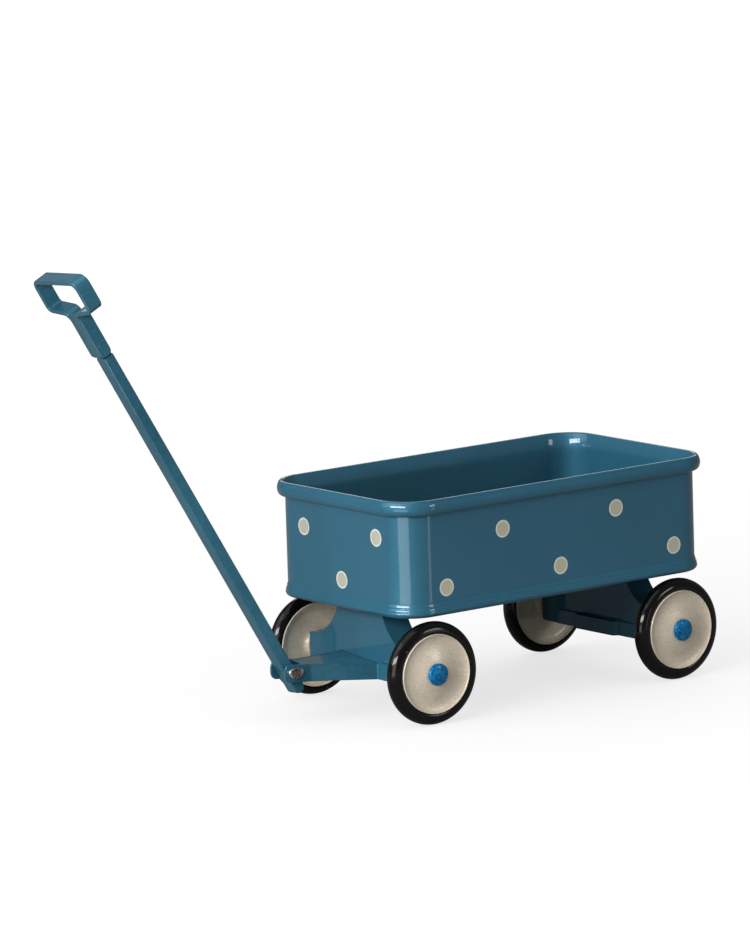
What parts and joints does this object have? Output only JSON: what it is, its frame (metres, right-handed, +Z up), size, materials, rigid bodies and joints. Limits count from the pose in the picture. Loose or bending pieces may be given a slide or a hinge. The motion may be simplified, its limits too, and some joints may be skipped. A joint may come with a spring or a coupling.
{
  "type": "toy wagon",
  "caption": "Toy pull wagon: a rounded pressed tray with a rolled rim on dished wheels, a steered front axle and a folding handle with a loop grip.",
  "frame": {"origin": "on the ground, in the middle of the wagon's box with its handle at rest", "axes": "+Y towards the rear, +X towards the wagon's left side, +Z up"},
  "size_m": [0.0718, 0.2046, 0.1404],
  "materials": {
    "blue_paint": "gloss enamel, light wear",
    "cream_enamel": "satin enamel",
    "black_tyre": "gloss",
    "cap_blue": "gloss enamel",
    "steel": "dull bare metal"
  },
  "bodies": {
    "wagon": {"tray": "blue_paint", "kingpin": "steel", "kingpin_washer": "steel", "rear_bracket": "blue_paint", "rear_cross_strap": "blue_paint", "rear_rivet_left": "steel", "rear_rivet_right": "steel", "rear_axle": "steel", "rear_left_wheel_hub_cap": "cap_blue", "rear_left_wheel_spacer": "steel", "rear_right_wheel_hub_cap": "cap_blue", "rear_right_wheel_spacer": "steel"},
    "front_truck": {"front_bracket": "blue_paint", "drawbar": "blue_paint", "handle_rivet": "steel", "front_axle": "steel", "front_left_wheel_hub_cap": "cap_blue", "front_left_wheel_spacer": "steel", "front_right_wheel_hub_cap": "cap_blue", "front_right_wheel_spacer": "steel"},
    "handle": {"handle_bar": "blue_paint", "handle_grip": "blue_paint"},
    "front_left_wheel": {"front_left_wheel_disc": "cream_enamel", "front_left_wheel_tyre": "black_tyre"},
    "front_right_wheel": {"front_right_wheel_disc": "cream_enamel", "front_right_wheel_tyre": "black_tyre"},
    "rear_left_wheel": {"rear_left_wheel_disc": "cream_enamel", "rear_left_wheel_tyre": "black_tyre"},
    "rear_right_wheel": {"rear_right_wheel_disc": "cream_enamel", "rear_right_wheel_tyre": "black_tyre"}
  },
  "joints": [
    {"name": "steering", "type": "hinge", "parent": "wagon", "child": "front_truck", "pos_m": [0, -0.00466, 0.031], "axis": [0, 0, 1], "range_deg": [-36.1, 43.9]},
    {"name": "handle_pivot", "type": "hinge", "parent": "front_truck", "child": "handle", "pos_m": [-0.00203, -0.03449, 0.01549], "axis": [0.9977, -0.068, 0], "range_deg": [-30, 52]},
    {"name": "front_left_wheel_spin", "type": "hinge", "parent": "front_truck", "child": "front_left_wheel", "pos_m": [0.03123, -0.00679, 0.01539], "axis": [0.9977, -0.068, 0], "continuous": true},
    {"name": "front_right_wheel_spin", "type": "hinge", "parent": "front_truck", "child": "front_right_wheel", "pos_m": [-0.03123, -0.00253, 0.01539], "axis": [0.9977, -0.068, 0], "continuous": true},
    {"name": "rear_left_wheel_spin", "type": "hinge", "parent": "wagon", "child": "rear_left_wheel", "pos_m": [0.0313, 0.08694, 0.01539], "axis": [1, 0, 0], "continuous": true},
    {"name": "rear_right_wheel_spin", "type": "hinge", "parent": "wagon", "child": "rear_right_wheel", "pos_m": [-0.0313, 0.08694, 0.01539], "axis": [1, 0, 0], "continuous": true}
  ]
}
